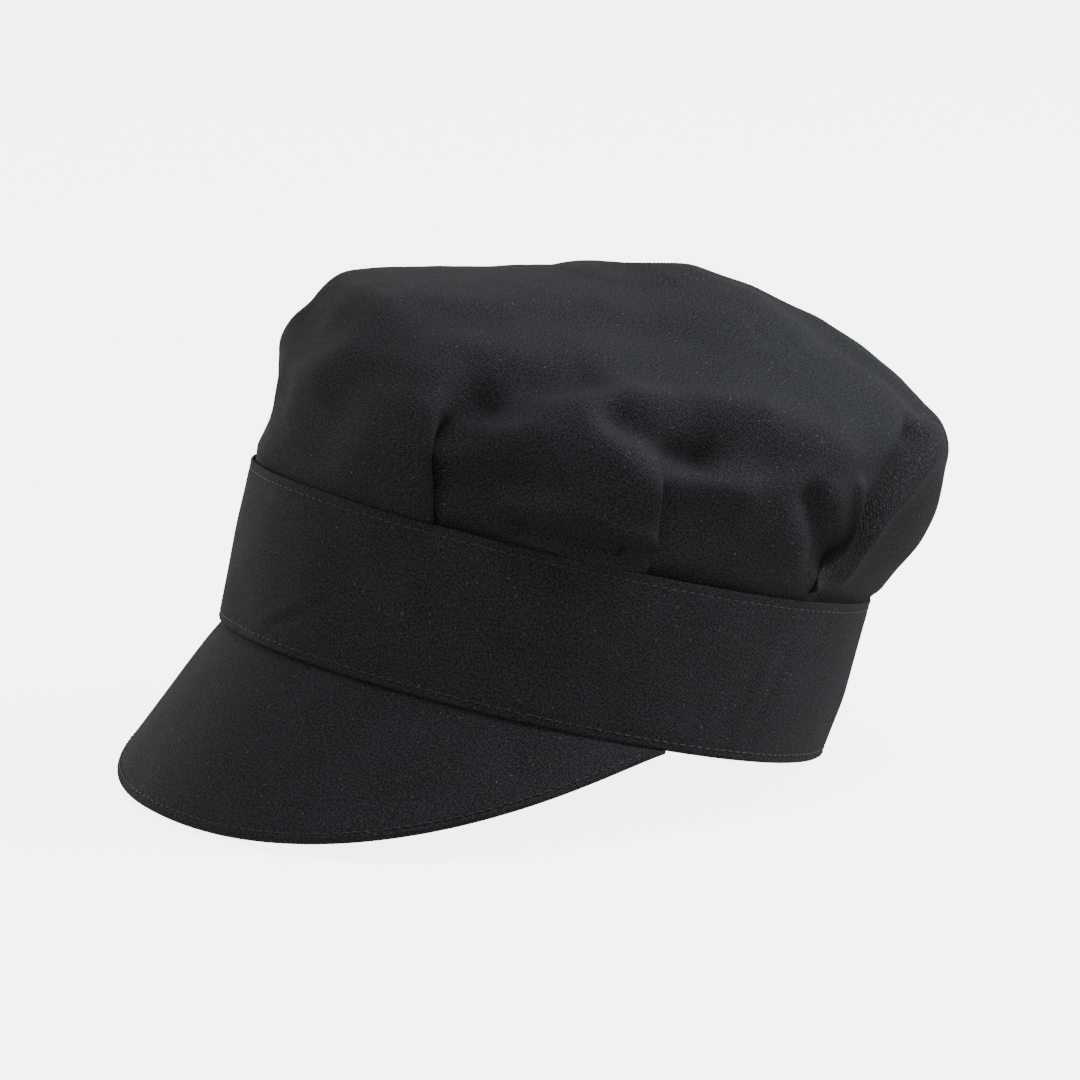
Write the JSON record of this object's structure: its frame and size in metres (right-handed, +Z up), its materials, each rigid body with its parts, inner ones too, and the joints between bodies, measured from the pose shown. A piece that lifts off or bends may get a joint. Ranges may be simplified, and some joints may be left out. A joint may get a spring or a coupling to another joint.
{
  "type": "peaked chef cap",
  "caption": "Soft baker's cap: pleated crown on a tall stiffened band, curved boarded peak in front, hook-and-loop tab closure behind.",
  "frame": {"origin": "middle of the cap's box, on the surface it stands on with the front edge of its peak and the hem at its back", "axes": "+Z up, front and peak towards -Y, the wearer's left towards +X"},
  "size_m": [0.2004, 0.2532, 0.1531],
  "materials": {
    "black_twill": "fine matte twill with a soft sheen",
    "black_lining": "matte twill",
    "binding_tape": "woven tape",
    "sweatband_cloth": "soft brushed cotton",
    "interlining": "stiff woven",
    "peak_board": "plain sheet",
    "black_thread": "spun polyester",
    "hook_tape": "woven with stiff hooks",
    "loop_tape": "soft looped pile"
  },
  "bodies": {
    "cap": {"crown_cloth": "black_twill", "crown_seam_binding": "binding_tape", "band_outer": "black_twill", "band_interlining": "interlining", "band_lining": "black_lining", "sweatband": "sweatband_cloth", "band_top_thread": "black_thread", "band_hem_thread": "black_thread", "band_top_inner_thread": "black_thread", "band_hem_inner_thread": "black_thread", "peak_upper": "black_twill", "peak_board": "peak_board", "peak_under": "black_lining", "peak_edge_thread": "black_thread", "peak_edge_under_thread": "black_thread", "loop_tape": "loop_tape"},
    "closure_tab": {"tab_outer": "black_twill", "tab_interlining": "interlining", "tab_lining": "black_lining", "hook_tape": "hook_tape", "tab_thread": "black_thread"}
  },
  "joints": [
    {"name": "tab_peel", "type": "hinge", "parent": "cap", "child": "closure_tab", "pos_m": [-0.04904, 0.08678, 0.0321], "axis": [-0.0202, 0.2924, 0.9561], "range_deg": [0, 60]}
  ]
}
